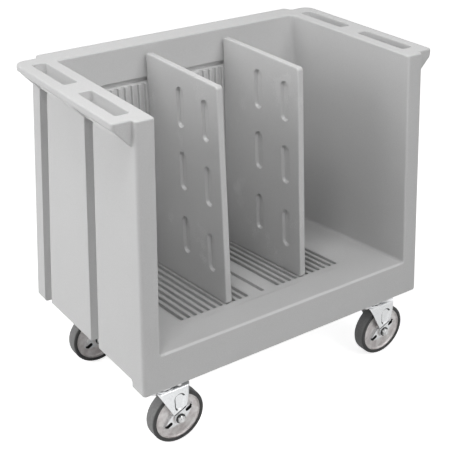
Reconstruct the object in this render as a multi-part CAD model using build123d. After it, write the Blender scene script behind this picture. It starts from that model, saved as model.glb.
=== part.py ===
from build123d import *
import math
import os

# Tray dolly. Sizes are in millimetres.
# X runs along the cart, the open tray side faces -Y and Z is up.
# The origin is on the floor under the middle of the cart.

# Outside of the moulded body
cart_height = 904.0
skirt_bottom = 222.0
base_half_length = 440.0
end_draft_run = 27.0
base_half_depth = 293.0
front_lean_run = 31.0
back_lean_run = 46.0
outer_corner_radius = 10.0
top_edge_radius = 4.0
hem_radius = 8.0
tool_margin = 20.0
tool_reach = 600.0
pick_margin = 1.0
top_half_length = base_half_length - end_draft_run
top_front = front_lean_run - base_half_depth
top_back = base_half_depth - back_lean_run

# Inside of the moulded body
end_wall_top = 48.0
end_wall_floor = 52.0
back_wall_depth = 112.0
floor_at_front = 325.0
floor_slope = 6.0
back_wall_lean = 2.1
back_corner_radius = 14.0
floor_corner_radius = 6.0
mouth_radius = 6.0
tray_half_top = top_half_length - end_wall_top
tray_half_floor = base_half_length - end_wall_floor
back_wall_foot = base_half_depth - back_wall_depth

# Rim, end ledges and hand-holds
rim_overhang = 26.0
rim_inset = 25.0
rim_step = 10.0
rim_step_radius = 6.0
rim_wedge_drop = 26.0
ledge_reach = 47.0
ledge_setback = 16.0
ledge_step = 22.0
ledge_lip = 14.0
ledge_front_radius = 9.0
ledge_back_radius = 30.0
ledge_root_radius = 3.0
wedge_drop = 48.0
wedge_setback = 22.0
hold_root = 18.0
hold_width = 35.0
hold_length = 173.0
hold_setbacks = (141.0, 129.0)
hold_corner_radius = 7.0
hold_mouth_depth = 24.0
hold_edge_radius = 2.5
bar_height = 30.0
scoop_foot = 66.0
rim_back = top_back + rim_overhang
rim_half_length = top_half_length - rim_inset
ledge_tip = top_half_length + ledge_reach
ledge_front = top_front + ledge_setback
ledge_back = rim_back - ledge_step
wedge_back = ledge_back - wedge_setback
hold_inner = top_half_length - hold_root
hold_outer = hold_inner + hold_width
hold_middles = (top_front + hold_setbacks[0], top_back - hold_setbacks[1])

# Upright channels in the end panels
channel_foot_setbacks = (243.0, 73.0)
channel_head_setbacks = (211.0, 63.0)
channel_mouth = 41.0
channel_bed = 37.0
channel_depth = 24.0
channel_bed_radius = 5.0
channel_feet = (channel_foot_setbacks[0] - base_half_depth, base_half_depth - channel_foot_setbacks[1])
channel_heads = (top_front + channel_head_setbacks[0], top_back - channel_head_setbacks[1])

# Underside between the skirts
skirt_depth = 55.0
underside_front = 246.0
underside_back = 238.0
underside_radius = 8.0
front_skirt_inner = skirt_depth - base_half_depth
back_skirt_inner = base_half_depth - skirt_depth

# Sunk pan and tray grooves in the floor, and the ribbed panel on the back wall
groove_start = 51.0
groove_pitch = 19.9
groove_count = 11
groove_width = 11.0
groove_depth = 10.0
groove_setback = 127.0
pan_depth = 4.0
pan_setback = 93.0
pan_ramp = 40.0
pan_front_ramp = 18.0
rib_panel_height = 7.0
rib_panel_margin = 8.0
rib_panel_top = 800.0
slit_rise = 3.0
slit_height = 12.0
slit_depth = 9.0
slit_margin = 2.0
groove_front = groove_setback - base_half_depth
groove_reach = groove_start + groove_pitch * (groove_count - 1)
rib_panel_half = groove_reach + rib_panel_margin
slit_half = rib_panel_half - slit_margin
pan_front = pan_setback - base_half_depth

# Dividers
divider_thickness = 18.0
left_divider_count = -4
right_divider_count = 5
divider_foot_setback = 122.0
divider_head_setback = 164.0
divider_drop = 22.0
divider_corner_radius = 9.0
divider_edge_radius = 3.5
divider_gap = 1.0
tongue_thickness = 10.0
tongue_gap = 0.3
tongue_setback = 16.0
dent_length = 106.0
dent_width = 32.0
dent_depth = 8.0
dent_draft = 28.0
dent_rows = (430.0, 612.0, 782.0)
dent_setbacks = ((68.0, 92.0), (187.0, 205.0))
divider_front_foot = divider_foot_setback - base_half_depth
divider_front_head = divider_head_setback - base_half_depth
divider_top = cart_height - divider_drop

# Casters
caster_inset_x = 93.5
caster_inset_y = 78.0
trail = 37.0
wheel_radius = 76.2
swivel_room = 38.1
pad_length = 100.0
pad_depth = 70.0
pad_radius = 12.0
pad_draft = 5.0
caster_height = 2 * wheel_radius + swivel_room
caster_axis_x = base_half_length - caster_inset_x
caster_axis_y = base_half_depth - caster_inset_y

# Caster plate and its fastening
plate_length = 92.0
plate_depth = 64.0
plate_thickness = 4.0
plate_radius = 8.0
bolt_spacing_x = 74.0
bolt_spacing_y = 45.0
bolt_diameter = 8.0
bolt_hole = 9.0
bolt_head_width = 13.0
bolt_head_height = 5.3
bolt_grip = 20.0
washer_thickness = 2.0
washer_width = 14.0
insert_width = 14.0
insert_length = 26.0
thread_clearance = 0.05

# Swivel head
race_radius = 24.0
race_inner = 17.0
race_outer = 30.0
race_height = 4.0
ball_radius = 4.0
ball_count = 10
ball_clearance = 0.3
ball_drop = 10.0
kingpin_radius = 7.0
kingpin_head_radius = 11.0
kingpin_clearance = 0.5
kingpin_length = 33.5
race_washer_radius = 20.0
race_washer_thickness = 3.0
kingpin_nut_width = 21.0
kingpin_nut_height = 8.0

# Fork
crown_drop = 16.5
fork_sheet = 4.0
fork_inner = 26.0
fork_bend_radius = 9.0
crown_front = -26.0
crown_rear = 69.0
leg_end_radius = 14.0
crown_corner_radius = 14.0
joggle_depth = 3.0
joggle_front = (-27.0, 7.8)
joggle_rear = (19.0, 29.8)
joggle_overlap = 5.0
pocket_depth = 3.0
pocket_draft = 58.0
pocket_top = (36.0, 36.0)
pocket_top_radius = 19.0
pocket_foot = (35.5, 56.0)
pocket_foot_radius = 13.0
crown_top = caster_height - crown_drop

# Axle
axle_radius = 6.0
axle_clearance = 0.1
axle_head_width = 19.0
axle_head_height = 8.0
axle_nut_height = 9.0
axle_end = 3.0
sleeve_radius = 8.5
bearing_radius = 12.5
running_clearance = 0.06
seat_clearance = 0.02
thrust_washer_radius = 15.0
thrust_washer_thickness = 2.4
thrust_gap = 0.3

# Wheel and tyre
hub_radius = 18.0
rim_radius = 65.5
rim_half_width = 15.0
rim_lip = 4.0
disc_half_width = 12.0
disc_shoulder = 24.0
hub_bar_half_length = 50.0
hub_bar_half_width = 22.0
hub_bar_height = 7.5
hub_bar_draft = 20.0
tyre_half_width = 18.0
tyre_shoulder = 6.0
tyre_grip_half_width = 10.0
tyre_grip_depth = 3.0
wheel_slot_middle = 34.0
wheel_slot_length = 22.0
wheel_slot_width = 11.0
wheel_slot_depth = 15.5
wheel_slot_angle = -28.0


def along_y(points, low, high):
    plane = Plane(origin=(0, high, 0), x_dir=(1, 0, 0), z_dir=(0, -1, 0))
    return extrude(plane * make_face(Polyline(*points, close=True)), amount=high - low)


def along_x(points, low, high):
    plane = Plane(origin=(low, 0, 0), x_dir=(0, 1, 0), z_dir=(1, 0, 0))
    return extrude(plane * make_face(Polyline(*points, close=True)), amount=high - low)


def heading(edge):
    return (edge @ 1 - edge @ 0).normalized()


def upright(edge):
    return abs(heading(edge).Z) > 0.9


def save(shape, name):
    export_step(shape, "parts/" + name + ".step")


# Levels and slopes shared by the body and the dividers
end_draft = (base_half_length - top_half_length) / (cart_height - skirt_bottom)


def outer_x(z):
    return base_half_length - (z - skirt_bottom) * end_draft


def tray_x(z):
    slope = (tray_half_floor - tray_half_top) / (cart_height - floor_at_front)
    return tray_half_floor - (z - floor_at_front) * slope


def floor_z(y):
    return floor_at_front - (y + base_half_depth) * math.tan(math.radians(floor_slope))


def pan_z(y):
    return floor_z(y) - pan_depth / math.cos(math.radians(floor_slope))


def wall_y(z):
    rise = z - floor_z(back_wall_foot)
    return back_wall_foot + rise * math.tan(math.radians(back_wall_lean))


def groove_lines():
    one_side = [groove_start + groove_pitch * k for k in range(groove_count)]
    return [-x for x in reversed(one_side)] + [0.0] + one_side


# Moulded body
def outer_block():
    ends = along_y([(-base_half_length, skirt_bottom), (base_half_length, skirt_bottom),
                    (top_half_length, cart_height), (-top_half_length, cart_height)],
                   -tool_reach, tool_reach)
    sides = along_x([(-base_half_depth, skirt_bottom), (base_half_depth, skirt_bottom),
                     (top_back, cart_height), (top_front, cart_height)],
                    -tool_reach, tool_reach)
    block = ends & sides
    block = fillet(block.edges().filter_by(upright), outer_corner_radius)
    return fillet(block.edges().group_by(Axis.Z)[0], hem_radius)


def rim_plate():
    right = [(rim_half_length, rim_back), (rim_half_length + rim_step, ledge_back),
             (ledge_tip, ledge_back), (ledge_tip, ledge_front)]
    left = [(-x, y) for x, y in reversed(right)]
    plan = make_face(Polyline(*right, *left, close=True))
    for x, y, radius in [(ledge_tip, ledge_front, ledge_front_radius),
                         (ledge_tip, ledge_back, ledge_back_radius),
                         (rim_half_length, rim_back, rim_step_radius),
                         (rim_half_length + rim_step, ledge_back, rim_step_radius)]:
        for side in (-1, 1):
            plan = fillet(plan.vertices().sort_by_distance((side * x, y, 0))[0], radius)
    return Pos(0, 0, cart_height - ledge_lip) * extrude(plan, amount=ledge_lip)


def end_wedge():
    high = cart_height - ledge_lip
    low = high - wedge_drop
    root = top_half_length - end_wall_top / 2
    profile = [(root, high), (ledge_tip, high), (outer_x(low), low), (root, low)]
    plan = make_face(Polyline((root, ledge_front), (ledge_tip, ledge_front),
                              (ledge_tip, wedge_back), (root, wedge_back), close=True))
    for y, radius in [(ledge_front, ledge_front_radius), (wedge_back, ledge_back_radius)]:
        plan = fillet(plan.vertices().sort_by_distance((ledge_tip, y, 0))[0], radius)
    stock = Pos(0, 0, low) * extrude(plan, amount=wedge_drop)
    return along_y(profile, ledge_front, wedge_back) & stock


def rim_wedge():
    high = cart_height - ledge_lip
    low = high - rim_wedge_drop
    root = wall_y(cart_height) + tool_margin
    return along_x([(root, high), (rim_back, high), (top_back, low), (root, low)],
                   rim_step - rim_half_length, rim_half_length - rim_step)


def tray_hollow():
    low = skirt_bottom
    high = cart_height + tool_margin
    walls = along_y([(-tray_x(low), low), (tray_x(low), low),
                     (tray_x(high), high), (-tray_x(high), high)], -tool_reach, tool_reach)
    side = along_x([(-tool_reach, floor_z(-tool_reach)), (back_wall_foot, floor_z(back_wall_foot)),
                    (wall_y(high), high), (-tool_reach, high)], -tool_reach, tool_reach)
    hollow = walls & side
    corners = hollow.edges().filter_by(upright).sort_by(Axis.Y)[-2:]
    hollow = fillet(corners, back_corner_radius)
    floor_face = hollow.faces().filter_by(lambda f: f.normal_at().Z < -0.9)[0]
    rounded = [e for e in floor_face.edges() if e.center().Y > tool_margin - tool_reach]
    return fillet(rounded, floor_corner_radius)


def underside_space():
    low = skirt_bottom - tool_margin
    face = make_face(Polyline((front_skirt_inner, low), (front_skirt_inner, underside_front),
                              (back_skirt_inner, underside_back), (back_skirt_inner, low),
                              close=True))
    face = fillet(face.vertices().sort_by(Axis.Y)[-2:], underside_radius)
    plane = Plane(origin=(-tool_reach, 0, 0), x_dir=(0, 1, 0), z_dir=(1, 0, 0))
    return extrude(plane * face, amount=2 * tool_reach)


def rounded_shell():
    wedge = end_wedge()
    shell = outer_block() + rim_plate() + wedge + mirror(wedge, about=Plane.YZ) + rim_wedge()
    nooks = [e for e in shell.edges().filter_by(upright)
             if abs(e.center().Y - ledge_front) < pick_margin
             and abs(e.center().X) < ledge_tip - ledge_reach / 2]
    shell = fillet(nooks, ledge_root_radius) - tray_hollow() - underside_space()
    front = shell.faces().filter_by(lambda f: f.center().Y < top_front).sort_by(SortBy.AREA)[-1]
    mouth = [e for e in front.edges()
             if abs(e.center().X) < tray_x(e.center().Z) + pick_margin
             and floor_at_front - pick_margin < e.center().Z < cart_height - pick_margin]
    shell = fillet(mouth, mouth_radius)
    rim = [e for e in shell.edges() if e.center().Z > cart_height - pick_margin]
    return fillet(rim, top_edge_radius)


def hand_hold(middle):
    low = middle - hold_length / 2
    high = middle + hold_length / 2
    sill = cart_height - hold_mouth_depth
    roof = cart_height - bar_height
    foot = cart_height - scoop_foot
    far = ledge_tip + tool_margin
    mouth = RectangleRounded(hold_outer - hold_inner, hold_length, hold_corner_radius)
    mouth = Pos((hold_inner + hold_outer) / 2, middle, sill) * mouth
    scoop = along_y([(hold_inner, sill), (hold_outer, sill), (hold_outer, roof), (far, roof),
                     (far, foot), (outer_x(foot), foot)], low, high)
    plan = Pos(far, middle, foot) * RectangleRounded(2 * (far - hold_inner), hold_length,
                                                     hold_corner_radius)
    return extrude(mouth, amount=hold_mouth_depth + tool_margin) + (scoop & extrude(plan, amount=scoop_foot))


def end_channel(foot, head):
    low = skirt_bottom - tool_margin
    high = cart_height - ledge_lip - wedge_drop
    lean = (head - foot) / (high - skirt_bottom)
    start = Vector(outer_x(low), foot - lean * tool_margin, low)
    path = Vector(outer_x(high), head, high) - start
    bed = channel_bed / 2
    mouth = channel_mouth / 2
    section = make_face(Polyline((-channel_depth, -bed), (-channel_depth, bed), (0, mouth),
                                 (tool_margin, mouth), (tool_margin, -mouth), (0, -mouth),
                                 close=True))
    section = fillet(section.vertices().sort_by(Axis.X)[:2], channel_bed_radius)
    return extrude(Pos(*start) * section, amount=path.length, dir=path.normalized())


def floor_plane(drop):
    tilt = math.radians(floor_slope)
    return Plane(origin=(0, -base_half_depth, floor_at_front - drop), x_dir=(1, 0, 0),
                 z_dir=(0, math.sin(tilt), math.cos(tilt)))


def along_floor(y):
    return (y + base_half_depth) / math.cos(math.radians(floor_slope))


def pan_sheet(drop, half_length, front):
    begin = along_floor(front)
    end = along_floor(back_wall_foot - rib_panel_height)
    return floor_plane(drop) * (Pos(0, (begin + end) / 2) * Rectangle(2 * half_length, end - begin))


def floor_pan():
    rise = pan_ramp / pan_depth
    front_rise = pan_front_ramp / pan_depth
    return loft([pan_sheet(pan_depth, rib_panel_half, pan_front + pan_front_ramp),
                 pan_sheet(-pick_margin, rib_panel_half + pan_ramp + rise * pick_margin,
                           pan_front - front_rise * pick_margin)])


def floor_grooves():
    begin = along_floor(groove_front)
    end = along_floor(back_wall_foot)
    slot = Pos(0, (begin + end) / 2) * Rot(0, 0, 90) * SlotOverall(end - begin, groove_width)
    slot += Pos(0, end - groove_width) * Rectangle(groove_width, 2 * groove_width)
    tool = floor_plane(pan_depth) * extrude(Pos(0, 0, -groove_depth) * slot,
                                            amount=groove_depth + floor_corner_radius)
    return [Pos(x, 0, 0) * tool for x in groove_lines()]


def rib_panel():
    low = pan_z(back_wall_foot) - groove_depth
    outline = [(wall_y(low) - rib_panel_height, low), (wall_y(low) + groove_depth, low),
               (wall_y(rib_panel_top) + groove_depth, rib_panel_top),
               (wall_y(rib_panel_top) - rib_panel_height, rib_panel_top)]
    return along_x(outline, -rib_panel_half, rib_panel_half)


def rib_grooves():
    low = pan_z(back_wall_foot) - groove_depth
    high = rib_panel_top + pick_margin
    outline = [(wall_y(low) - 2 * rib_panel_height, low), (wall_y(low), low),
               (wall_y(high), high), (wall_y(high) - 2 * rib_panel_height, high)]
    return [along_x(outline, x - groove_width / 2, x + groove_width / 2) for x in groove_lines()]


def wall_slit():
    low = rib_panel_top + slit_rise
    high = low + slit_height
    outline = [(wall_y(low) - tool_margin, low), (wall_y(low) + slit_depth, low),
               (wall_y(low) + slit_depth, high), (wall_y(low) - tool_margin, high)]
    return along_x(outline, -slit_half, slit_half)


def corner_places():
    return [(sx * caster_axis_x, sy * caster_axis_y) for sy in (-1, 1) for sx in (-1, 1)]


def bolt_places():
    half_x = bolt_spacing_x / 2
    half_y = bolt_spacing_y / 2
    return [(cx + sx * half_x, cy + sy * half_y)
            for cx, cy in corner_places() for sx in (-1, 1) for sy in (-1, 1)]


def caster_pad():
    plan = Pos(0, 0, caster_height) * RectangleRounded(pad_length, pad_depth, pad_radius)
    return extrude(plan, amount=underside_front + underside_radius - caster_height, taper=-pad_draft)


def cart_body():
    shell = rounded_shell()
    holds = []
    for middle in hold_middles:
        hold = hand_hold(middle)
        holds += [hold, mirror(hold, about=Plane.YZ)]
    shell = shell - holds
    brims = [e for e in shell.edges() if e.center().Z > cart_height - pick_margin
             and hold_inner - pick_margin < abs(e.center().X) < hold_outer + pick_margin
             and min(abs(e.center().Y - y) for y in hold_middles) < hold_length / 2 + pick_margin]
    shell = fillet(brims, hold_edge_radius)
    channels = []
    for foot, head in zip(channel_feet, channel_heads):
        channel = end_channel(foot, head)
        channels += [channel, mirror(channel, about=Plane.YZ)]
    shell = shell - channels
    shell = shell - floor_pan() + rib_panel()
    shell = shell - floor_grooves() - rib_grooves() - wall_slit()
    shell = shell + [Pos(x, y, 0) * caster_pad() for x, y in corner_places()]
    sockets = [Pos(x, y, caster_height) * extrude(Circle(insert_width / 2), amount=insert_length)
               for x, y in bolt_places()]
    shell = shell - sockets
    return shell


# Dividers
def rib_face(z):
    return wall_y(z) - rib_panel_height


def divider_outline():
    back = rib_face(pan_z(back_wall_foot)) - divider_gap
    return [(divider_front_foot, pan_z(divider_front_foot) + divider_gap),
            (back, pan_z(back) + divider_gap),
            (rib_face(divider_top) - divider_gap, divider_top),
            (divider_front_head, divider_top)]


def divider_tongue():
    front = divider_front_foot + tongue_setback
    back = rib_face(pan_z(back_wall_foot)) - tongue_setback
    low = pan_z(back_wall_foot) + tongue_setback
    high = rib_panel_top - tongue_setback
    reach = groove_depth - tongue_gap
    wall_reach = rib_panel_height - tongue_gap
    outline = [(front, pan_z(front) + tongue_setback), (front, pan_z(front) - reach),
               (back, pan_z(back) - reach), (rib_face(low) + wall_reach, low),
               (rib_face(high) + wall_reach, high), (rib_face(high) - tongue_setback, high),
               (back - tongue_setback, low + tongue_setback)]
    return along_x(outline, -tongue_thickness / 2, tongue_thickness / 2)


def divider_dents():
    face = divider_thickness / 2
    outer = Plane(origin=(face, 0, 0), x_dir=(0, 1, 0), z_dir=(-1, 0, 0))
    inner = Plane(origin=(-face, 0, 0), x_dir=(0, 1, 0), z_dir=(1, 0, 0))
    dents = []
    for low_setback, high_setback in dent_setbacks:
        low_y = divider_front_foot + low_setback
        high_y = divider_front_foot + high_setback
        lean = (high_y - low_y) / (dent_rows[-1] - dent_rows[0])
        for row in dent_rows:
            y = low_y + lean * (row - dent_rows[0])
            turn = 90 - math.degrees(math.atan(lean))
            for plane, flip in ((outer, -1), (inner, 1)):
                slot = Pos(y, flip * row) * Rot(0, 0, flip * turn) * SlotOverall(dent_length, dent_width)
                dents.append(extrude(plane * slot, amount=dent_depth, taper=dent_draft))
    return dents


def divider():
    outline = make_face(Polyline(*divider_outline(), close=True))
    outline = fillet(outline.vertices(), divider_corner_radius)
    plane = Plane(origin=(-divider_thickness / 2, 0, 0), x_dir=(0, 1, 0), z_dir=(1, 0, 0))
    panel = extrude(plane * outline, amount=divider_thickness)
    edges = [e for e in panel.edges()
             if abs(abs(e.center().X) - divider_thickness / 2) < pick_margin]
    panel = fillet(edges, divider_edge_radius)
    return panel + divider_tongue() - divider_dents()


# Fastening of the caster plates
def hexagon(width):
    return RegularPolygon(width / 2, 6, major_radius=False)


def tube(outer, inner, low, high):
    return Pos(0, 0, low) * extrude(Circle(outer) - Circle(inner), amount=high - low)


def rod(radius, low, high):
    return Pos(0, 0, low) * extrude(Circle(radius), amount=high - low)


def caster_inserts():
    one = tube(insert_width / 2, bolt_diameter / 2 + thread_clearance,
               caster_height, caster_height + insert_length)
    return [Pos(x, y, 0) * one for x, y in bolt_places()]


def lock_washers():
    high = caster_height - plate_thickness
    one = tube(washer_width / 2, bolt_hole / 2, high - washer_thickness, high)
    return [Pos(x, y, 0) * one for x, y in bolt_places()]


def caster_bolts():
    seat = caster_height - plate_thickness - washer_thickness
    head = Pos(0, 0, seat - bolt_head_height) * extrude(hexagon(bolt_head_width),
                                                        amount=bolt_head_height)
    one = head + rod(bolt_diameter / 2, seat, seat + bolt_grip)
    return [Pos(x, y, 0) * one for x, y in bolt_places()]


# Swivel head, drawn with the swivel axis on Z and the floor at zero
plate_low = caster_height - plate_thickness
ball_level = caster_height - ball_drop
crown_low = crown_top - fork_sheet


def ball_track():
    return Pos(0, 0, ball_level) * Torus(race_radius, ball_radius + ball_clearance)


def sunk_head(gap):
    middle = caster_height - plate_thickness / 2
    return Pos(0, 0, middle) * Cone(kingpin_radius + gap, kingpin_head_radius + gap, plate_thickness)


def top_plate():
    sheet = RectangleRounded(plate_length, plate_depth, plate_radius)
    for sx in (-1, 1):
        for sy in (-1, 1):
            sheet -= Pos(sx * bolt_spacing_x / 2, sy * bolt_spacing_y / 2) * Circle(bolt_hole / 2)
    plate = Pos(0, 0, plate_low) * extrude(sheet, amount=plate_thickness)
    plate += tube(race_outer, race_inner, plate_low - race_height, plate_low)
    return plate - ball_track() - sunk_head(seat_clearance)


def kingpin():
    return sunk_head(0) + rod(kingpin_radius, caster_height - kingpin_length, plate_low)


def race_washer():
    high = crown_low - thrust_gap
    return tube(race_washer_radius, kingpin_radius + seat_clearance,
                high - race_washer_thickness, high)


def kingpin_nut():
    high = crown_low - thrust_gap - race_washer_thickness
    block = Pos(0, 0, high - kingpin_nut_height) * extrude(hexagon(kingpin_nut_width),
                                                           amount=kingpin_nut_height)
    return block - rod(kingpin_radius + seat_clearance, high - kingpin_nut_height, high)


def swivel_balls():
    ball = Pos(race_radius, 0, ball_level) * Sphere(ball_radius)
    return [Rot(0, 0, 360 / ball_count * k) * ball for k in range(ball_count)]


# Fork
fork_outer = fork_inner + fork_sheet
end_inner = fork_inner - joggle_depth
end_outer = fork_outer - joggle_depth


def fork_channel():
    low = wheel_radius - leg_end_radius
    shape = make_face(Polyline((-fork_outer, low), (-fork_outer, crown_top),
                               (fork_outer, crown_top), (fork_outer, low), close=True))
    shape = fillet(shape.vertices().sort_by(Axis.Y)[-2:], fork_bend_radius)
    inside = make_face(Polyline((-fork_inner, low), (-fork_inner, crown_low),
                                (fork_inner, crown_low), (fork_inner, low), close=True))
    inside = fillet(inside.vertices().sort_by(Axis.Y)[-2:], fork_bend_radius - fork_sheet)
    plane = Plane(origin=(crown_front, 0, 0), x_dir=(0, 1, 0), z_dir=(1, 0, 0))
    return extrude(plane * (shape - inside), amount=crown_rear - crown_front)


def leg_outline():
    crown = Line((crown_front, crown_top), (crown_rear, crown_top))
    end = Pos(trail, wheel_radius) * CenterArc((0, 0), leg_end_radius, 0, 360)
    plane = Plane(origin=(0, fork_outer, 0), x_dir=(1, 0, 0), z_dir=(0, -1, 0))
    return extrude(plane * make_hull([crown, *end.edges()]), amount=2 * fork_outer)


def below_joggle(lift):
    (x0, z0), (x1, z1) = [(trail + x, wheel_radius + z) for x, z in (joggle_front, joggle_rear)]
    slope = (z1 - z0) / (x1 - x0)
    far = crown_rear - crown_front
    return along_y([(x0 - far, z0 - far * slope + lift), (x1 + far, z1 + far * slope + lift),
                    (x1 + far, -far), (x0 - far, -far)], -fork_outer, fork_outer)


def leg_ends():
    sheet = Box(2 * tool_reach, fork_sheet, 2 * tool_reach)
    middle = end_inner + fork_sheet / 2
    return [Pos(0, side * middle, 0) * sheet & leg_outline() & below_joggle(joggle_overlap)
            for side in (-1, 1)]


def pocket_sheet(side, level, shrink):
    plane = Plane(origin=(0, side * level, 0), x_dir=(side, 0, 0), z_dir=(0, -side, 0))
    ends = ((pocket_top, pocket_top_radius), (pocket_foot, pocket_foot_radius))
    rings = [Pos(side * x, crown_top - drop) * CenterArc((0, 0), radius - shrink, 0, 360)
             for (x, drop), radius in ends]
    return plane * make_hull([edge for ring in rings for edge in ring.edges()])


def leg_pocket(side, face):
    shrink = pocket_depth * math.tan(math.radians(pocket_draft))
    return loft([pocket_sheet(side, face, 0), pocket_sheet(side, face - pocket_depth, shrink)])


def fork():
    plan = Pos((crown_front + crown_rear) / 2, 0) * RectangleRounded(
        crown_rear - crown_front, 2 * fork_outer, crown_corner_radius)
    shape = fork_channel() & leg_outline() & extrude(plan, amount=crown_top)
    shape = shape - below_joggle(0) + leg_ends()
    shape += tube(race_outer, race_inner, crown_top, crown_top + race_height)
    shape += [leg_pocket(side, fork_inner) for side in (-1, 1)]
    shape -= [leg_pocket(side, fork_outer) for side in (-1, 1)]
    shape -= ball_track()
    shape -= rod(kingpin_radius + kingpin_clearance, crown_low, crown_top)
    return shape - on_axle(rod(axle_radius + axle_clearance, -tool_reach, tool_reach))


# Axle and wheel, drawn on Z and turned onto the axle line
hub_half = end_inner - thrust_washer_thickness - thrust_gap


def on_axle(shape):
    return Pos(trail, 0, wheel_radius) * Rot(-90, 0, 0) * shape


def axle_bolt():
    head = Pos(0, 0, end_outer) * extrude(hexagon(axle_head_width), amount=axle_head_height)
    return on_axle(head + rod(axle_radius, -end_outer - axle_nut_height - axle_end, end_outer))


def axle_nut():
    block = Pos(0, 0, -end_outer - axle_nut_height) * extrude(hexagon(axle_head_width),
                                                               amount=axle_nut_height)
    return on_axle(block - rod(axle_radius + seat_clearance, -tool_reach, tool_reach))


def axle_sleeve():
    return on_axle(tube(sleeve_radius, axle_radius + seat_clearance, -end_inner, end_inner))


def thrust_washers():
    low = end_inner - thrust_washer_thickness
    one = tube(thrust_washer_radius, sleeve_radius + seat_clearance, low, end_inner)
    return [on_axle(one), on_axle(mirror(one, about=Plane.XY))]


def wheel_bearing():
    return on_axle(tube(bearing_radius, sleeve_radius + running_clearance, -hub_half, hub_half))


def turned(half):
    outline = half + [(r, -z) for r, z in reversed(half)]
    plane = Plane(origin=(0, 0, 0), x_dir=(1, 0, 0), z_dir=(0, -1, 0))
    return revolve(plane * make_face(Polyline(*outline, close=True)), axis=Axis.Z)


def wheel_slots():
    slot = Pos(wheel_slot_middle, 0) * SlotOverall(wheel_slot_length, wheel_slot_width)
    face = disc_half_width + hub_bar_height
    cut = Pos(0, 0, face - wheel_slot_depth) * extrude(slot, amount=tool_margin)
    pair = [Rot(0, 0, wheel_slot_angle + turn) * cut for turn in (0, 180)]
    return pair + [mirror(one, about=Plane.XY) for one in pair]


def hub_bars():
    arc_radius = (hub_bar_half_length ** 2 + hub_bar_half_width ** 2) / (2 * hub_bar_half_width)
    offset = arc_radius - hub_bar_half_width
    lens = Pos(0, offset) * Circle(arc_radius) & Pos(0, -offset) * Circle(arc_radius)
    bar = Pos(0, 0, disc_half_width) * extrude(lens, amount=hub_bar_height, taper=hub_bar_draft)
    bar = Rot(0, 0, wheel_slot_angle) * bar - rod(bearing_radius + seat_clearance, 0, tool_margin)
    return [bar, mirror(bar, about=Plane.XY)]


def wheel():
    core = turned([(bearing_radius + seat_clearance, hub_half), (hub_radius, hub_half),
                   (disc_shoulder, disc_half_width), (rim_radius - rim_lip, disc_half_width),
                   (rim_radius - rim_lip / 2, rim_half_width), (rim_radius, rim_half_width),
                   (rim_radius, tyre_grip_half_width),
                   (rim_radius - tyre_grip_depth, tyre_grip_half_width - tyre_grip_depth)])
    return on_axle(core + hub_bars() - wheel_slots())


def tyre():
    seat = rim_radius + seat_clearance
    body = turned([(seat - tyre_grip_depth, tyre_grip_half_width - tyre_grip_depth),
                   (seat, tyre_grip_half_width), (seat, tyre_half_width),
                   (wheel_radius, tyre_half_width)])
    brink = [e for e in body.edges().filter_by(GeomType.CIRCLE) if e.radius > wheel_radius - pick_margin]
    return on_axle(fillet(brink, tyre_shoulder))


os.makedirs("parts", exist_ok=True)
save(cart_body(), "cart_body")
lines = groove_lines()
save(Pos(lines[groove_count + left_divider_count], 0, 0) * divider(), "divider_left")
save(Pos(lines[groove_count + right_divider_count], 0, 0) * divider(), "divider_right")
save(Compound(children=caster_inserts()), "caster_inserts")
save(Compound(children=lock_washers()), "caster_lock_washers")
save(Compound(children=caster_bolts()), "caster_bolts")
pieces = {"top_plate": top_plate(), "kingpin": kingpin(), "kingpin_nut": kingpin_nut(),
          "race_washer": race_washer(), "swivel_balls": swivel_balls(), "fork": fork(),
          "axle_bolt": axle_bolt(), "axle_nut": axle_nut(), "axle_sleeve": axle_sleeve(),
          "thrust_washers": thrust_washers(), "wheel_bearing": wheel_bearing(),
          "wheel": wheel(), "tyre": tyre()}
corners = ("front_left", "front_right", "rear_left", "rear_right")
for corner, (x, y) in zip(corners, corner_places()):
    for name, piece in pieces.items():
        if isinstance(piece, list):
            placed = Compound(children=[Pos(x, y, 0) * one for one in piece])
        else:
            placed = Pos(x, y, 0) * piece
        save(placed, corner + "_" + name)
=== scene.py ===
import math
import bpy
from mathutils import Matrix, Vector


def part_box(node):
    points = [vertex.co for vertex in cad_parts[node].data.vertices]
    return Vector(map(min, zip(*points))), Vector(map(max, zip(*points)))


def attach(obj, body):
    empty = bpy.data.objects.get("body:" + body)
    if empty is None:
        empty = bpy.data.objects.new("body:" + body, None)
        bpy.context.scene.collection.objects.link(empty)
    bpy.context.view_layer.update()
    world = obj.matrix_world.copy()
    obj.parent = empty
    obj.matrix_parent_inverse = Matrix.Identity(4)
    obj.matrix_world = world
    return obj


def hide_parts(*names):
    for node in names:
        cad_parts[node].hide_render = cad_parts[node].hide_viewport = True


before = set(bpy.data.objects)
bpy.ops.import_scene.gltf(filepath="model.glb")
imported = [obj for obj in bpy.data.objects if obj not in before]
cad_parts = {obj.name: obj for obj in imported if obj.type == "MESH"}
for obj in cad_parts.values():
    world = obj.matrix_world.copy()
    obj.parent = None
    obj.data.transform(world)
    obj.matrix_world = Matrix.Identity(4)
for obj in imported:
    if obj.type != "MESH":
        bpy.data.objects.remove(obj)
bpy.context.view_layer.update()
corners = ("front_left", "front_right", "rear_left", "rear_right")
print("frame loaded,", len(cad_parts), "nodes")


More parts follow.
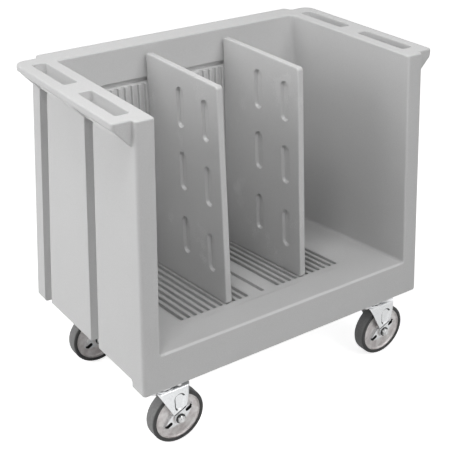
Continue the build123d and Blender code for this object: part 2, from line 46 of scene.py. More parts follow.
# Shader sums
class Wire:
    # one socket of a node tree, which takes part in plain sums
    def __init__(self, tree, socket=None):
        self.tree = tree
        self.socket = socket

    # any node: its type, its settings, then what goes into its sockets
    def node(self, kind, settings, inputs, out=0):
        made = self.tree.nodes.new("ShaderNode" + kind)
        for key, value in settings.items():
            setattr(made, key, value)
        for key, value in inputs.items():
            socket = self.find(made.inputs, key)
            if isinstance(value, Wire):
                self.tree.links.new(value.socket, socket)
            else:
                socket.default_value = value
        return Wire(self.tree, self.find(made.outputs, out))

    # a socket by its number or its name
    def find(self, sockets, key):
        if isinstance(key, int):
            return sockets[key]
        return next(s for s in sockets if key in (s.identifier, s.name))

    def sum(self, operation, first, second):
        return self.node("Math", {"operation": operation}, {0: first, 1: second})

    def __add__(self, other):
        return self.sum("ADD", self, other)

    def __radd__(self, other):
        return self.sum("ADD", other, self)

    def __sub__(self, other):
        return self.sum("SUBTRACT", self, other)

    def __rsub__(self, other):
        return self.sum("SUBTRACT", other, self)

    def __mul__(self, other):
        return self.sum("MULTIPLY", self, other)

    def __rmul__(self, other):
        return self.sum("MULTIPLY", other, self)


def shade(colour, tone=1.0):
    # a colour as it is seen on screen, taken through the screen's curve for a socket
    def straight(value):
        return value / 12.92 if value < 0.04045 else ((value + 0.055) / 1.055) ** 2.4
    return (*[straight(value * tone) for value in colour], 1.0)


def newFinish(name):
    material = bpy.data.materials.new(name)
    material.use_nodes = True
    tree = material.node_tree
    start = Wire(tree)
    place = start.node("TexCoord", {}, {}, "Object")
    return material, tree.nodes["Principled BSDF"], start, place


def join(shader, key, wire):
    wire.tree.links.new(wire.socket, shader.inputs[key])


def noise(start, place, scale, detail, rough=0.5):
    return start.node("TexNoise", {}, {"Vector": place, "Scale": scale, "Detail": detail,
                                       "Roughness": rough}, "Fac")


def sway(wire, amount):
    # noise about its middle of 0.5
    return amount * (wire - 0.5)


def mixColours(start, share, first, second):
    return start.node("Mix", {"data_type": "RGBA"},
                      {"Factor_Float": share, "A_Color": first, "B_Color": second},
                      "Result_Color")


def twoTones(start, share, colour, tones):
    return mixColours(start, share, *[shade(colour, tone) for tone in tones])


def ramp(start, value, low, high):
    return start.node("MapRange", {"interpolation_type": "SMOOTHSTEP"},
                      {"Value": value, "From Min": low, "From Max": high}, "Result")


def band(start, value, low, high, soft):
    # 1 between two values and 0 outside them
    rise = ramp(start, value, low - soft, low + soft)
    return rise * (1 - ramp(start, value, high - soft, high + soft))


def axes(start, place):
    apart = start.node("SeparateXYZ", {}, {"Vector": place})
    return [Wire(start.tree, socket) for socket in apart.socket.node.outputs]


def size(start, value):
    return start.node("Math", {"operation": "ABSOLUTE"}, {0: value})


def roughen(start, shader, look, height, **under):
    bump = start.node("Bump", {}, {"Height": height, "Strength": look["bumpStrength"],
                                   "Distance": look["bumpDepth"], **under})
    join(shader, "Normal", bump)


# Moulded plastic of the cart and the dividers
plasticLook = {"cart": {"colour": (0.835, 0.835, 0.835), "roughness": 0.34},
               "divider": {"colour": (0.835, 0.835, 0.835), "roughness": 0.22},
               "speck": (620.0, 2.0, 0.6), "cloud": (7.0, 3.0), "grainFrom": (0.36, 0.62),
               "tones": (0.93, 1.02), "toneMiddle": 0.55, "toneGrain": 0.35, "toneCloud": 0.3,
               "roughCloud": 0.16, "roughSpeck": 0.06, "bumpStrength": 0.35,
               "bumpDepth": 0.00025, "edgeRound": 0.004, "edgeSamples": 8, "ior": 1.5}
# painted shade darkens the grooved bed, and a painted highlight pales the sill's edge
bedShadeSillHighlight = {"bedAcross": (0.041, 0.258), "bedAlong": (-0.168, 0.18),
            "bedHeight": (0.245, 0.335), "bedSoft": 0.008, "bedTone": 0.93,
            "sillHeight": (0.3202, 0.331), "sillSoft": 0.0012, "sillFront": (-0.283, -0.28),
            "sillReach": (0.372, 0.38), "sillTone": 1.065}


# painted shade over the grooved bed of the cart, and a painted highlight along its sill
def paintedShadeAndHighlight(start, place, tint, colour):
    paintedLight, soft = bedShadeSillHighlight, bedShadeSillHighlight["bedSoft"]
    across, along, height = axes(start, place)
    outward = size(start, across)
    # painted shade: the grooved bed is made darker
    bed = (band(start, outward, *paintedLight["bedAcross"], soft)
           * band(start, along, *paintedLight["bedAlong"], soft)
           * band(start, height, *paintedLight["bedHeight"], soft))
    # painted highlight: a pale line along the sill's top edge
    sill = (band(start, height, *paintedLight["sillHeight"], paintedLight["sillSoft"])
            * (1 - ramp(start, along, *paintedLight["sillFront"]))
            * (1 - ramp(start, outward, *paintedLight["sillReach"])))
    tint = mixColours(start, bed, tint, shade(colour, paintedLight["bedTone"]))
    return mixColours(start, sill, tint, shade(colour, paintedLight["sillTone"]))


def mouldedPlastic(name, kind, wearAndPaintedLight):
    look, colour = plasticLook, plasticLook[kind]["colour"]
    material, shader, start, place = newFinish(name)
    speck = noise(start, place, *look["speck"])
    cloud = noise(start, place, *look["cloud"])
    grain = ramp(start, speck, *look["grainFrom"])
    share = look["toneMiddle"] + look["toneGrain"] * grain + sway(cloud, look["toneCloud"])
    tint = twoTones(start, share, colour, look["tones"])
    # only the cart takes the painted shade on its bed and the painted highlight on its sill
    if wearAndPaintedLight:
        tint = paintedShadeAndHighlight(start, place, tint, colour)
    join(shader, "Base Color", tint)
    join(shader, "Roughness", look[kind]["roughness"] + sway(cloud, look["roughCloud"])
         + look["roughSpeck"] * speck)
    rounded = start.node("Bevel", {"samples": look["edgeSamples"]},
                         {"Radius": look["edgeRound"]})
    roughen(start, shader, look, speck, Normal=rounded)
    shader.inputs["IOR"].default_value = look["ior"]
    return material


# Bright zinc plating of the casters
zincLook = {"fork": {"colour": (0.90, 0.905, 0.91), "roughness": 0.26},
            "fastener": {"colour": (0.86, 0.86, 0.86), "roughness": 0.34},
            "flower": (260.0, 2.0), "streak": (900.0, 1.0), "tones": (0.95, 1.0),
            "roughFlower": 0.14, "roughStreak": 0.06, "bumpStrength": 0.12,
            "bumpDepth": 0.0002}


def zincPlate(name, kind):
    look = zincLook
    material, shader, start, place = newFinish(name)
    flower = noise(start, place, *look["flower"])
    streak = noise(start, place, *look["streak"])
    join(shader, "Base Color", twoTones(start, flower, look[kind]["colour"], look["tones"]))
    join(shader, "Roughness", look[kind]["roughness"] + sway(flower, look["roughFlower"])
         + look["roughStreak"] * streak)
    roughen(start, shader, look, streak)
    shader.inputs["Metallic"].default_value = 1.0
    return material


# Brass, small plastics, the dark washer and a dark colour for painted shade, all grained alike
grainLook = {"brass": {"colour": (0.78, 0.66, 0.40), "grainScale": 900.0,
                       "roughness": 0.35, "metallic": 1.0},
             "bearing": {"colour": (0.88, 0.87, 0.84), "grainScale": 800.0,
                         "roughness": 0.4, "metallic": 0.0},
             # a dark colour painted where shade falls in the fork's creases
             "crease": {"colour": (0.24, 0.24, 0.24), "grainScale": 500.0,
                        "roughness": 0.55, "metallic": 0.4},
             # the dark washer's colour, also painted shade inside the wheel slots
             "washer": {"colour": (0.17, 0.17, 0.17), "grainScale": 700.0,
                        "roughness": 0.5, "metallic": 0.0},
             "grain": (3.0, 0.65), "cloud": 2.0, "grainsPerCloud": 30, "tones": (0.9, 1.06),
             "toneGrain": 0.5, "toneCloud": 0.5, "roughCloud": 0.2, "bumpStrength": 0.4,
             "bumpDepth": 0.0001}


def grainedFinish(name, kind):
    look, scale = grainLook, grainLook[kind]["grainScale"]
    material, shader, start, place = newFinish(name)
    grain = noise(start, place, scale, *look["grain"])
    cloud = noise(start, place, scale / look["grainsPerCloud"], look["cloud"])
    share = look["toneGrain"] * grain + look["toneCloud"] * cloud
    join(shader, "Base Color", twoTones(start, share, look[kind]["colour"], look["tones"]))
    join(shader, "Roughness", look[kind]["roughness"] + sway(cloud, look["roughCloud"]))
    roughen(start, shader, look, grain)
    shader.inputs["Metallic"].default_value = look[kind]["metallic"]
    return material


# Grey rubber, paler where the tread is scuffed
rubberLook = {"tread": (0.55, 0.55, 0.55), "treadTones": (0.86, 1.12),
              "side": (0.30, 0.30, 0.30), "sideTones": (0.9, 1.1), "roughness": 0.72,
              "scuff": (160.0, 4.0, 0.6), "roughScuff": 0.2, "grain": (1100.0, 3.0, 0.65),
              "bumpStrength": 0.4, "bumpDepth": 0.0003}


def tyreRubber(name):
    look = rubberLook
    material, shader, start, place = newFinish(name)
    wearAndPaintedLight = start.node("Attribute", {"attribute_name": "treadShare"}, {}, "Fac")
    grain = noise(start, place, *look["grain"])
    scuff = noise(start, place, *look["scuff"])
    tread = twoTones(start, scuff, look["tread"], look["treadTones"])
    side = twoTones(start, grain, look["side"], look["sideTones"])
    join(shader, "Base Color", mixColours(start, wearAndPaintedLight, side, tread))
    join(shader, "Roughness", look["roughness"] + sway(scuff, look["roughScuff"]))
    roughen(start, shader, look, grain)
    return material


# Wheel disc, dull metal with faint turning rings and stains
discLook = {"pale": (0.93, 0.92, 0.915), "stained": (0.80, 0.775, 0.77), "ringRate": 2600.0,
            "stain": (55.0, 4.0, 0.6), "stainFrom": (0.3, 0.72), "ringStain": 0.06,
            "roughness": 0.42, "roughRing": 0.08, "roughStain": 0.2, "bumpStrength": 0.25,
            "bumpDepth": 0.0001, "metallic": 0.45}


def turnedDisc(name):
    look = discLook
    material, shader, start, place = newFinish(name)
    radius = start.node("Attribute", {"attribute_name": "fromAxle"}, {}, "Fac")
    ring = start.node("Math", {"operation": "SINE"}, {0: radius * look["ringRate"]})
    stain = noise(start, place, *look["stain"])
    share = ramp(start, stain + look["ringStain"] * ring, *look["stainFrom"])
    join(shader, "Base Color", mixColours(start, share, shade(look["stained"]),
                                          shade(look["pale"])))
    join(shader, "Roughness", look["roughness"] + look["roughRing"] * ring
         + sway(stain, look["roughStain"]))
    roughen(start, shader, look, ring)
    shader.inputs["Metallic"].default_value = look["metallic"]
    return material


finishes = {"cart_plastic": mouldedPlastic("cartPlastic", "cart", True),
            "divider_plastic": mouldedPlastic("dividerPlastic", "divider", False),
            "zinc_steel": zincPlate("zincSteel", "fork"),
            "fastener_steel": zincPlate("fastenerSteel", "fastener"),
            "insert_brass": grainedFinish("insertBrass", "brass"),
            "bearing_plastic": grainedFinish("bearingPlastic", "bearing"),
            "wheel_disc": turnedDisc("wheelDisc"),
            "tyre_rubber": tyreRubber("tyreRubber"),
            "crease": grainedFinish("paintedCreaseShade", "crease"),
            "dark_washer": grainedFinish("darkWasherAndSlotShade", "washer")}
print("finishes made:", len(finishes))


# Which finish each node takes
slotOf = {"cart_body": "cart_plastic", "divider_left": "divider_plastic",
          "divider_right": "divider_plastic", "caster_inserts": "insert_brass",
          "caster_bolts": "fastener_steel", "caster_lock_washers": "fastener_steel"}
casterSlots = {"top_plate": "zinc_steel", "kingpin": "fastener_steel",
               "kingpin_nut": "fastener_steel", "race_washer": "zinc_steel",
               "swivel_balls": "fastener_steel", "fork": "zinc_steel",
               "axle_bolt": "fastener_steel", "axle_nut": "fastener_steel",
               "axle_sleeve": "fastener_steel", "thrust_washers": "fastener_steel",
               "wheel_bearing": "bearing_plastic", "wheel": "wheel_disc", "tyre": "tyre_rubber"}
for corner in corners:
    for part, slotName in casterSlots.items():
        slotOf[corner + "_" + part] = slotName


def finishWith(piece, *slotNames):
    piece.data.materials.clear()
    for slotName in slotNames:
        piece.data.materials.append(finishes[slotName])


for nodeName, slotName in slotOf.items():
    finishWith(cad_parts[nodeName], slotName)
print("nodes finished:", len(slotOf))


# Picking, editing and shading
def leaveEdit():
    bpy.ops.object.mode_set(mode="OBJECT")


def clearSelection():
    if bpy.context.object and bpy.context.object.mode != "OBJECT":
        leaveEdit()
    bpy.ops.object.select_all(action="DESELECT")


def pick(piece):
    clearSelection()
    piece.select_set(True)
    bpy.context.view_layer.objects.active = piece


def editAll(piece):
    # goes into edit mode with the whole mesh picked
    pick(piece)
    bpy.ops.object.mode_set(mode="EDIT")
    bpy.ops.mesh.select_all(action="SELECT")


def choose(piece, kind, test):
    # goes into edit mode with the points, edges or faces picked that pass the test
    pick(piece)
    bpy.ops.object.mode_set(mode="EDIT")
    bpy.ops.mesh.select_mode(type=kind)
    bpy.ops.mesh.select_all(action="DESELECT")
    leaveEdit()
    mesh = piece.data
    if kind == "FACE":
        for face in mesh.polygons:
            face.select = test(face.center, face.normal)
    elif kind == "EDGE":
        for edge in mesh.edges:
            edge.select = test(*[mesh.vertices[v].co for v in edge.vertices])
    else:
        for point in mesh.vertices:
            point.select = test(point.co)
    bpy.ops.object.mode_set(mode="EDIT")


def roundOff(piece, kind, test, width, steps):
    choose(piece, kind, test)
    bpy.ops.mesh.bevel(offset=width, segments=steps)
    leaveEdit()


def applyModifier(piece, kind, **settings):
    pick(piece)
    bpy.ops.object.modifier_add(type=kind)
    modifier = piece.modifiers[-1]
    for key, value in settings.items():
        setattr(modifier, key, value)
    bpy.ops.object.modifier_apply(modifier=modifier.name)


def smoothShade(piece, angle, weight=None):
    pick(piece)
    bpy.ops.object.shade_smooth_by_angle(angle=math.radians(angle))
    if weight:
        applyModifier(piece, "WEIGHTED_NORMAL", mode="FACE_AREA", weight=weight,
                      keep_sharp=True)


def settle(piece, body, nodeName):
    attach(piece, body)
    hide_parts(nodeName)


# Body and dividers, merged copies of the CAD nodes with clean shading
shellLook = {"mergeReach": 0.00001, "sharpAngle": 32, "faceWeight": 100}


def mergedCopy(nodeName, pieceName):
    piece = bpy.data.objects.new(pieceName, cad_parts[nodeName].data.copy())
    bpy.context.scene.collection.objects.link(piece)
    editAll(piece)
    bpy.ops.mesh.remove_doubles(threshold=shellLook["mergeReach"])
    leaveEdit()
    if piece.data.has_custom_normals:
        bpy.ops.mesh.customdata_custom_splitnormals_clear()
    smoothShade(piece, shellLook["sharpAngle"], shellLook["faceWeight"])
    return piece


settle(mergedCopy("cart_body", "moulded_body"), "cart", "cart_body")
for side in ("left", "right"):
    settle(mergedCopy("divider_" + side, "tray_divider_" + side), side + "_divider",
           "divider_" + side)
print("body and dividers done")


# Casters, modelled once at the front left corner and then copied
skinLook = {"seedSize": 0.001, "spinSteps": 96, "spinReach": 0.000005, "cutReach": 0.00003,
            "edgeReach": 0.000004, "flatAngle": 0.5, "edgeSteps": 2, "sharpAngle": 30,
            "faceWeight": 80}
past = 0.01         # how far a cutting tool runs past what it cuts
lap = 0.0002        # how far two shapes overlap where they join
facing = 0.9        # how squarely a picked face looks along an axis


def boxMiddle(nodeName):
    low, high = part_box(nodeName)
    return Vector([(a + b) / 2 for a, b in zip(low, high)])


home = boxMiddle("front_left_tyre")


def spot(x, z, y=0.0):
    return home + Vector((x, y, z))


def fromAxle(point):
    return math.hypot(point.x - home.x, point.z - home.z)


def near(first, second):
    return abs(first - second) < lap


def applyPlace():
    bpy.ops.object.transform_apply(location=True, rotation=True, scale=True)
    return bpy.context.object


def drawnOutline(name, points):
    # a closed outline in the plane of the axle, drawn point by point
    clearSelection()
    bpy.ops.mesh.primitive_plane_add(size=skinLook["seedSize"],
                                     location=spot(points[0][0], 0, points[0][1]))
    piece = applyPlace()
    piece.name = name
    bpy.ops.object.mode_set(mode="EDIT")
    bpy.ops.mesh.select_mode(type="VERT")
    bpy.ops.mesh.select_all(action="SELECT")
    bpy.ops.mesh.merge(type="CENTER")
    for before, after in zip(points, points[1:] + points[:1]):
        step = (after[0] - before[0], after[1] - before[1], 0)
        bpy.ops.mesh.extrude_region_move(TRANSFORM_OT_translate={"value": step})
    leaveEdit()
    return piece


def spunRing(name, half):
    # one half of the outline is given, and the other mirrors it
    piece = drawnOutline(name, half + [(radius, -width) for radius, width in reversed(half)])
    editAll(piece)
    bpy.ops.mesh.remove_doubles(threshold=skinLook["spinReach"])
    bpy.ops.mesh.spin(steps=skinLook["spinSteps"], angle=2 * math.pi, center=home,
                      axis=(0, 1, 0))
    bpy.ops.mesh.select_all(action="SELECT")
    bpy.ops.mesh.remove_doubles(threshold=skinLook["spinReach"])
    bpy.ops.mesh.normals_make_consistent(inside=False)
    leaveEdit()
    return piece


def rodTool(place, radius, low, high, sides, lowRadius=None):
    # a rod along the axle line, between two distances from the wheel's middle
    clearSelection()
    middle = Vector(place) + Vector((0, (low + high) / 2, 0))
    bpy.ops.mesh.primitive_cone_add(vertices=sides, radius2=radius, depth=high - low,
                                    radius1=radius if lowRadius is None else lowRadius,
                                    location=middle, rotation=(-math.pi / 2, 0, 0))
    return applyPlace()


def taperTool(place, side, inner, outer, sides):
    # a tapered rod on one side of the wheel, with the distance and radius of each end
    ends = sorted((side * distance, radius) for distance, radius in (inner, outer))
    (low, lowRadius), (high, highRadius) = ends
    return rodTool(place, highRadius, low, high, sides, lowRadius)


def uprightRod(place, radius, low, high, sides):
    clearSelection()
    middle = Vector(place) + Vector((0, 0, (low + high) / 2))
    bpy.ops.mesh.primitive_cylinder_add(vertices=sides, radius=radius, depth=high - low,
                                        location=middle)
    return applyPlace()


def boxTool(low, high):
    clearSelection()
    bpy.ops.mesh.primitive_cube_add(size=1, location=(low + high) / 2, scale=high - low)
    return applyPlace()


def hullOf(*tools):
    # one convex block round several tools
    clearSelection()
    for tool in tools:
        tool.select_set(True)
    bpy.context.view_layer.objects.active = tools[0]
    bpy.ops.object.join()
    bpy.ops.object.mode_set(mode="EDIT")
    bpy.ops.mesh.select_all(action="SELECT")
    bpy.ops.mesh.convex_hull()
    bpy.ops.mesh.normals_make_consistent(inside=False)
    leaveEdit()
    return tools[0]


def cut(piece, tool, operation="DIFFERENCE"):
    applyModifier(piece, "BOOLEAN", operation=operation, object=tool, solver="EXACT")
    bpy.data.objects.remove(tool)


def paint(tool, index, test=None):
    # which of the piece's finishes the tool's faces bring with them
    for face in tool.data.polygons:
        face.material_index = index if test is None or test(face.normal) else 0
    return tool


def cleanSkin(piece, reach):
    # points that lie together become one, and faces without area go
    editAll(piece)
    bpy.ops.mesh.remove_doubles(threshold=reach)
    bpy.ops.mesh.dissolve_degenerate(threshold=reach)
    bpy.ops.mesh.select_all(action="SELECT")
    bpy.ops.mesh.dissolve_limited(angle_limit=math.radians(skinLook["flatAngle"]),
                                  delimit={"MATERIAL"})
    leaveEdit()


def soften(piece, width):
    cleanSkin(piece, skinLook["cutReach"])
    applyModifier(piece, "BEVEL", width=width, segments=skinLook["edgeSteps"],
                  limit_method="ANGLE", angle_limit=math.radians(skinLook["sharpAngle"]),
                  use_clamp_overlap=True)
    cleanSkin(piece, skinLook["edgeReach"])
    smoothShade(piece, skinLook["sharpAngle"], skinLook["faceWeight"])


def storeShare(piece, name, value):
    # a number at each point, which the finish reads
    layer = piece.data.attributes.new(name, "FLOAT", "POINT")
    for point, slot in zip(piece.data.vertices, layer.data):
        slot.value = value(point.co)


# Tyre with round shoulders and a moulding line round the middle of the tread
tyreLook = {"outer": 0.0762, "inner": 0.06552, "half": 0.018, "shoulder": 0.006,
            "shoulderSteps": 6, "seatRun": 0.0012, "seatDepth": 0.0006, "lineHalf": 0.0007,
            "lineFloor": 0.0003, "lineDepth": 0.0004, "treadFrom": 0.0742, "treadFade": 0.0016}


def makeTyre():
    look = tyreLook
    inner, outer, half, run = look["inner"], look["outer"], look["half"], look["seatRun"]
    tyre = spunRing("front_left_rubber_tyre", [
        (inner, half), (inner + run, half - look["seatDepth"]), (inner + 2 * run, half),
        (outer, half), (outer, look["lineHalf"]),
        (outer - look["lineDepth"], look["lineFloor"])])

    def shoulder(*ends):
        return all(near(fromAxle(p), outer) and near(abs(p.y - home.y), half) for p in ends)

    def tread(point):
        return min(1, max(0, (fromAxle(point) - look["treadFrom"]) / look["treadFade"]))
    roundOff(tyre, "EDGE", shoulder, look["shoulder"], look["shoulderSteps"])
    smoothShade(tyre, skinLook["sharpAngle"])
    storeShare(tyre, "treadShare", tread)
    finishWith(tyre, "tyre_rubber")
    return tyre


# Pressed wheel disc with rim lip, hub, raised bar and two slots
wheelLook = {"outline": [(0.01252, 0.0203), (0.018, 0.0203), (0.024, 0.0122), (0.027, 0.0114),
                         (0.040, 0.0114), (0.0425, 0.0108), (0.055, 0.0104), (0.059, 0.0112),
                         (0.0612, 0.0122), (0.0630, 0.0150), (0.0655, 0.0150), (0.0655, 0.010),
                         (0.0625, 0.007)],
             "bore": 0.0126, "boreSides": 96, "barRadius": 0.0678, "barOffset": 0.0458,
             "barFoot": 0.009, "barTop": 0.0195, "barDraft": 0.0027, "barTurn": 28.0,
             "barSides": 160, "slotReach": 0.034, "slotRadius": 0.0055, "slotRun": 0.0055,
             "slotFloor": 0.004, "slotRoof": 0.03, "slotSides": 24, "edge": 0.0007}


def makeDisc():
    look = wheelLook
    disc = spunRing("front_left_wheel_disc", look["outline"])
    # the third finish, dark, is painted shade for the walls of the slots
    finishWith(disc, "wheel_disc", "zinc_steel", "dark_washer")
    turn = math.radians(look["barTurn"])
    along = Vector((math.cos(turn), 0, math.sin(turn)))
    across = Vector((-math.sin(turn), 0, math.cos(turn)))
    foot = (look["barFoot"], look["barRadius"])
    top = (look["barTop"], look["barRadius"] - look["barDraft"])
    floor = (look["slotFloor"], look["slotRadius"])
    roof = (look["slotRoof"], look["slotRadius"])
    for side in (-1, 1):
        bar, other = [taperTool(home + across * offset, side, foot, top, look["barSides"])
                      for offset in (look["barOffset"], -look["barOffset"])]
        cut(bar, other, "INTERSECT")
        low, high = sorted((side * look["barFoot"], side * look["barTop"]))
        cut(bar, rodTool(home, look["bore"], low - past, high + past, look["boreSides"]))
        cut(disc, paint(bar, 1), "UNION")
        for end in (-1, 1):
            middle = home + along * look["slotReach"] * end
            slot = hullOf(*[taperTool(middle + along * look["slotRun"] * half, side, floor,
                                      roof, look["slotSides"]) for half in (-1, 1)])
            # the slot walls take the dark finish, painted shade inside the slots
            cut(disc, paint(slot, 2))
    soften(disc, look["edge"])
    storeShare(disc, "fromAxle", fromAxle)
    return disc


# Fork bent from one sheet, with stepped ends and a tapered press mark in each leg
forkLook = {"crown": (-0.063, 0.032), "crownHalf": 0.030, "crownTop": 0.0978, "sheet": 0.004,
            "bend": 0.009, "bendSteps": 6, "cornerRound": 0.014, "cornerSteps": 8,
            "endRadius": 0.014, "legFoot": 0.009, "legSides": 64, "planFoot": -0.05,
            "stepFrom": (-0.027, 0.0078), "stepTo": (0.019, 0.0298), "stepRun": 0.007,
            "stepIn": 0.003, "stepMargin": 0.0003, "stepLean": 0.97,
            "markTop": (-0.0025, 0.0640, 0.0165), "markFoot": (-0.0045, 0.0410, 0.013),
            "markDepth": 0.003, "markDraft": 0.0048, "markPast": 0.0003, "markSides": 40,
            "wallLean": 0.2, "wallUp": 0.35, "wallFront": 0.5, "raceOuter": 0.030,
            "raceInner": 0.017, "raceHeight": 0.004, "raceSides": 64, "swivelBack": -0.037,
            "edge": 0.0006}


def pressMark(side, face):
    # from the sheet's face at this distance inwards
    look = forkLook
    ends = [taperTool(spot(x, z), side, (face - look["markDepth"], radius - look["markDraft"]),
                      (face + look["markPast"], radius), look["markSides"])
            for x, z, radius in (look["markTop"], look["markFoot"])]
    return hullOf(*ends)


def shadedWall(normal):
    # the upper and front walls of the press mark, which are painted dark as painted shade
    look, lean = forkLook, math.hypot(normal.x, normal.z)
    return lean > look["wallLean"] and (normal.z > look["wallUp"] * lean
                                        or normal.x < -look["wallFront"] * lean)


def bendSheet():
    look = forkLook
    (left, right), half, top = look["crown"], look["crownHalf"], look["crownTop"]
    fork = boxTool(spot(left, -look["endRadius"], -half), spot(right, top, half))
    fork.name = "front_left_zinc_fork"
    # the second finish is a dark colour, painted shade for the press marks and the stepped
    # strip
    finishWith(fork, "zinc_steel", "crease")
    roundOff(fork, "EDGE", lambda a, b: near(min(a.z, b.z), home.z + top) and near(a.y, b.y),
             look["bend"], look["bendSteps"])
    choose(fork, "FACE", lambda c, n: n.z < -facing or abs(n.x) > facing)
    bpy.ops.mesh.delete(type="FACE")
    leaveEdit()
    applyModifier(fork, "SOLIDIFY", thickness=look["sheet"], offset=-1, use_even_offset=True)
    return fork


def trimSheet(fork):
    # the legs taper to round ends, and the crown's corners are round from above
    look = forkLook
    (left, right), half, top = look["crown"], look["crownHalf"], look["crownTop"]
    wide = half + past
    leg = hullOf(rodTool(home, look["legFoot"], -wide, wide, look["legSides"]),
                 boxTool(spot(left, top - lap, -wide), spot(right, top + lap, wide)))
    cut(leg, rodTool(home, look["endRadius"], -wide, wide, look["legSides"]), "UNION")
    cut(fork, leg, "INTERSECT")
    plan = boxTool(spot(left, look["planFoot"], -half), spot(right, top + past, half))
    roundOff(plan, "EDGE", lambda a, b: not near(a.z, b.z), look["cornerRound"],
             look["cornerSteps"])
    cut(fork, plan, "INTERSECT")


def stepEnds(fork):
    # the leg ends move in towards the wheel below a slanting line, and the slanting strip is
    # painted dark as painted shade
    look = forkLook
    slope = (Vector(look["stepTo"]) - Vector(look["stepFrom"])).normalized()
    normal = Vector((-slope.y, 0, slope.x))
    low = spot(*look["stepFrom"])
    for lift in (0, look["stepRun"]):
        editAll(fork)
        bpy.ops.mesh.bisect(plane_co=low + normal * lift, plane_no=normal)
        leaveEdit()
    for side in (-1, 1):
        choose(fork, "VERT", lambda p: (p - low).dot(normal) < lap / 2
               and (p.y - home.y) * side > 0)
        bpy.ops.transform.translate(value=(0, -side * look["stepIn"], 0))
        leaveEdit()
    margin = look["stepMargin"]
    for face in fork.data.polygons:
        reach = (face.center - low).dot(normal)
        outward = face.normal.y * (face.center.y - home.y) > 0
        leans = abs(face.normal.y) < look["stepLean"]
        if margin < reach < look["stepRun"] - margin and outward and leans:
            face.material_index = 1


def makeFork():
    look = forkLook
    fork = bendSheet()
    trimSheet(fork)
    for side in (-1, 1):
        cut(fork, pressMark(side, look["crownHalf"] - look["sheet"]), "UNION")
        # the press mark's upper and front walls take the dark colour, painted shade
        cut(fork, paint(pressMark(side, look["crownHalf"]), 1, shadedWall))
    stepEnds(fork)
    crown = spot(look["swivelBack"], look["crownTop"])
    race = uprightRod(crown, look["raceOuter"], -lap, look["raceHeight"], look["raceSides"])
    cut(race, uprightRod(crown, look["raceInner"], -past, past, look["raceSides"]))
    cut(fork, race, "UNION")
    soften(fork, look["edge"])
    return fork


# Axle bolt and its lock nut with a dark washer
axleLook = {"across": 0.019, "turnSides": 48, "turnSlack": 0.0001, "turnOff": 0.0016,
            "headHeight": 0.008, "seat": 0.027, "rod": 0.006, "rodEnd": 0.039, "rodSides": 32,
            "rodRound": 0.0014, "rodSteps": 3, "nutHex": 0.0065, "nutHeight": 0.009,
            "collar": 0.0084, "collarSides": 40, "collarRound": 0.0018, "collarSteps": 4,
            "root": 0.001, "washer": 0.0135, "washerHeight": 0.0012, "washerSides": 40,
            "bore": 0.0061, "boreEnd": 0.06, "edge": 0.0004}


def hexBlock(name, low, high):
    # a hexagon with its outer corners turned off
    look = axleLook
    radius, outer = look["across"] / math.sqrt(3), max(low, high, key=abs)
    block = rodTool(home, radius, low, high, 6)
    block.name = name
    blank = rodTool(home, radius + look["turnSlack"], low, high, look["turnSides"])
    roundOff(blank, "FACE", lambda c, n: near(c.y - home.y, outer) and abs(n.y) > facing,
             look["turnOff"], 1)
    cut(block, blank, "INTERSECT")
    return block


def outerEnd(centre, normal):
    return normal.y < -facing


def makeBolt():
    look = axleLook
    seat = look["seat"]
    bolt = hexBlock("front_left_axle_hex_bolt", seat, seat + look["headHeight"])
    shaft = rodTool(home, look["rod"], -look["rodEnd"], seat + look["root"], look["rodSides"])
    roundOff(shaft, "FACE", outerEnd, look["rodRound"], look["rodSteps"])
    cut(bolt, shaft, "UNION")
    soften(bolt, look["edge"])
    finishWith(bolt, "fastener_steel")
    return bolt


def makeNut():
    look = axleLook
    seat, top = -look["seat"], -look["seat"] - look["nutHex"]
    nut = hexBlock("front_left_axle_lock_nut", top, seat - look["washerHeight"] / 2)
    collar = rodTool(home, look["collar"], seat - look["nutHeight"], top + look["root"],
                     look["collarSides"])
    roundOff(collar, "FACE", outerEnd, look["collarRound"], look["collarSteps"])
    cut(nut, collar, "UNION")
    cleanSkin(nut, skinLook["cutReach"])
    finishWith(nut, "fastener_steel", "dark_washer")
    washer = rodTool(home, look["washer"], seat - look["washerHeight"], seat,
                     look["washerSides"])
    cut(nut, paint(washer, 1), "UNION")
    cut(nut, rodTool(home, look["bore"], -look["boreEnd"], 0.0, look["rodSides"]))
    soften(nut, look["edge"])
    return nut


def copyToCorners(piece, part, body):
    # one copy at every corner, each with its own mesh
    stem = piece.name.replace("front_left_", "")
    for corner in corners:
        twin = piece
        if corner != "front_left":
            twin = piece.copy()
            twin.data = piece.data.copy()
            twin.name = corner + "_" + stem
            bpy.context.scene.collection.objects.link(twin)
            twin.location = boxMiddle(corner + "_tyre") - home
            pick(twin)
            applyPlace()
        settle(twin, corner + "_" + body, corner + "_" + part)


copyToCorners(makeTyre(), "tyre", "roller")
copyToCorners(makeDisc(), "wheel", "roller")
copyToCorners(makeFork(), "fork", "yoke")
bolt, nut = makeBolt(), makeNut()
copyToCorners(bolt, "axle_bolt", "yoke")
copyToCorners(nut, "axle_nut", "yoke")
print("casters modelled")


# Floor and world, white to the camera and in reflections
stageLook = {"floorSize": 30.0, "floorTone": 0.9, "floorRoughness": 0.9, "mottle": (3.0, 2.0),
             "mottleTone": 0.99, "floorLift": 1.0, "nearLift": 0.80, "nearReach": (1.6, 3.8),
             "floorShine": 0.5, "underAcross": (0.36, 0.48), "underAlong": (0.25, 0.33),
             "worldLight": 0.02}


def ray(start, kind):
    return start.node("LightPath", {}, {}, "Is " + kind + " Ray")


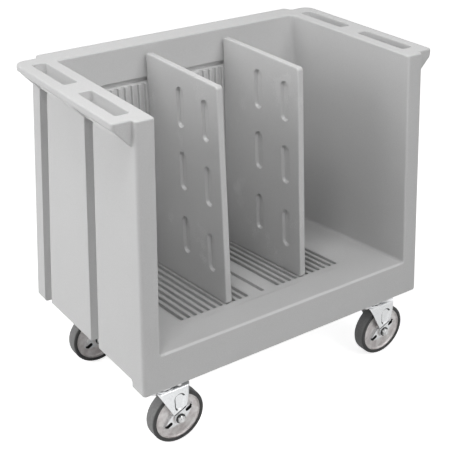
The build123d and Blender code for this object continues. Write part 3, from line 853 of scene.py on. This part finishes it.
def makeFloor():
    look = stageLook
    clearSelection()
    bpy.ops.mesh.primitive_plane_add(size=look["floorSize"], location=(0, 0, 0))
    floor = bpy.context.object
    floor.name = "studioFloor"
    material, shader, start, place = newFinish("studioFloorPaint")
    tint = noise(start, place, *look["mottle"])
    tones = [(tone, tone, tone, 1)
             for tone in (look["floorTone"], look["floorTone"] * look["mottleTone"])]
    join(shader, "Base Color", mixColours(start, tint, *tones))
    shader.inputs["Roughness"].default_value = look["floorRoughness"]
    shader.inputs["Specular IOR Level"].default_value = 0.0
    # reflections see no white under the cart, and the camera sees less near it
    across, along = axes(start, place)[:2]
    clear = start.node("Math", {"operation": "MAXIMUM"},
                       {0: ramp(start, size(start, across), *look["underAcross"]),
                        1: ramp(start, size(start, along), *look["underAlong"])})
    reach = start.node("VectorMath", {"operation": "LENGTH"}, {0: place}, "Value")
    nearLift = look["nearLift"]
    lift = nearLift + (1 - nearLift) * ramp(start, reach, *look["nearReach"])
    share = (ray(start, "Camera") + look["floorShine"] * ray(start, "Glossy") * clear) * lift
    join(shader, "Emission Color", mixColours(start, share, (0, 0, 0, 1), (1, 1, 1, 1)))
    shader.inputs["Emission Strength"].default_value = look["floorLift"]
    floor.data.materials.append(material)


def makeWorld():
    world = bpy.data.worlds.new("studioWorld")
    bpy.context.scene.world = world
    world.use_nodes = True
    tree = world.node_tree
    tree.nodes.clear()
    start = Wire(tree)
    share = start.node("Math", {"operation": "ADD", "use_clamp": True},
                       {0: ray(start, "Camera") + ray(start, "Glossy"),
                        1: ray(start, "Transmission")})
    lit, white = [start.node("Background", {}, {"Color": (1, 1, 1, 1), "Strength": strength})
                  for strength in (stageLook["worldLight"], 1.0)]
    mixed = start.node("MixShader", {}, {0: share, 1: lit, 2: white})
    output = tree.nodes.new("ShaderNodeOutputWorld")
    tree.links.new(mixed.socket, output.inputs["Surface"])


# Lamps
lamps = {"leftLowSoftbox": {"place": (-3.0, 1.0, 1.6), "size": 2.2, "power": 40.5},
         "leftHighSoftbox": {"place": (-2.4, 1.2, 3.4), "size": 2.2, "power": 31.4},
         "frontHighSoftbox": {"place": (0.6, -3.6, 3.4), "size": 2.2, "power": 55.0},
         "rightHighSoftbox": {"place": (2.4, -0.4, 3.4), "size": 2.4, "power": 12.7},
         "overheadSoftbox": {"place": (0.1, -0.9, 2.3), "size": 1.4, "power": 5.7},
         "overheadLeftSoftbox": {"place": (-0.72, -0.63, 2.45), "size": 0.45, "power": 11.5}}
lampAim = Vector((0, 0, 0.5))


def makeLamps():
    for name, look in lamps.items():
        light = bpy.data.lights.new(name, "AREA")
        light.shape = "SQUARE"
        light.size = look["size"]
        light.energy = look["power"]
        lamp = bpy.data.objects.new(name, light)
        lamp.location = look["place"]
        away = Vector(look["place"]) - lampAim
        lamp.rotation_euler = away.to_track_quat("Z", "Y").to_euler()
        bpy.context.scene.collection.objects.link(lamp)


# Camera, where the photograph was taken from
view = {"aim": (-0.0063, 0.0, 0.4330), "distance": 2.634, "turn": -34.66, "lift": 27.40,
        "lens": 78.26, "sensor": 36.0}


def makeCamera():
    turn, lift = math.radians(view["turn"]), math.radians(view["lift"])
    back = Vector((math.sin(turn) * math.cos(lift), -math.cos(turn) * math.cos(lift),
                   math.sin(lift)))
    data = bpy.data.cameras.new("photoCamera")
    data.lens = view["lens"]
    data.sensor_width = view["sensor"]
    camera = bpy.data.objects.new("photoCamera", data)
    camera.location = Vector(view["aim"]) + back * view["distance"]
    camera.rotation_euler = back.to_track_quat("Z", "Y").to_euler()
    bpy.context.scene.collection.objects.link(camera)
    bpy.context.scene.camera = camera


makeFloor()
makeWorld()
makeLamps()
makeCamera()
bpy.context.scene.view_settings.view_transform = "Standard"
print("stage, lamps and camera set")
